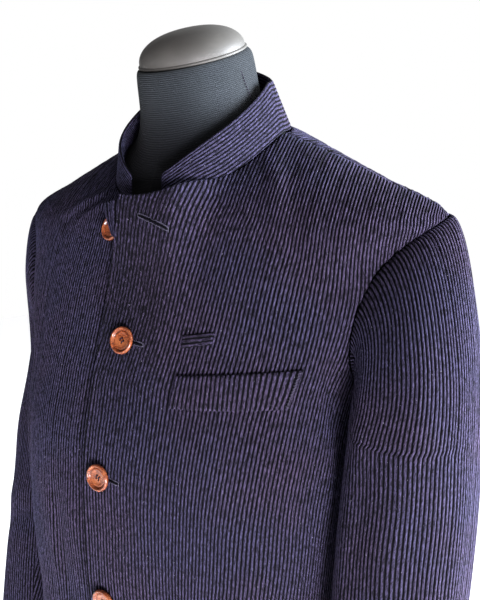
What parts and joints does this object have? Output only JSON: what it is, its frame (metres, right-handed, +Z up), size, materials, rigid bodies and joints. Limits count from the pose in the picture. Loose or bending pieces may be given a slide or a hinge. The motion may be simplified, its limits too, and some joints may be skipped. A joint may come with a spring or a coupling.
{
  "type": "corduroy jacket with band collar on a dress form",
  "caption": "Wide-wale corduroy jacket with a band collar, buttoned front and welt chest pocket, worn by a limbless dress form on a round stand.",
  "frame": {"origin": "middle of the underside of the stand's base, on the floor", "axes": "+Z up along the pole and the body, -Y to the jacket's front, +X towards the wearer's left"},
  "size_m": [0.5393, 0.35, 1.5889],
  "materials": {
    "corduroy": "wide-wale cotton corduroy, navy aubergine",
    "form_jersey": "fine rib knit cover, dark grey",
    "cap_metal": "satin grey",
    "stand_steel": "brushed",
    "button_horn": "polished brown horn look"
  },
  "bodies": {
    "root": {"stand_base": "stand_steel", "stand_pole": "stand_steel", "form_body": "form_jersey", "neck_cap": "cap_metal", "front_left": "corduroy", "front_right": "corduroy", "front_left_facing_corner": "corduroy", "back_left": "corduroy", "back_right": "corduroy", "top_sleeve_left": "corduroy", "under_sleeve_left": "corduroy", "top_sleeve_right": "corduroy", "under_sleeve_right": "corduroy", "collar": "corduroy", "breast_pocket_welt": "corduroy", "chest_bar": "corduroy", "button_1": "button_horn", "button_2": "button_horn", "button_3": "button_horn", "button_4": "button_horn", "button_5": "button_horn"}
  },
  "joints": []
}
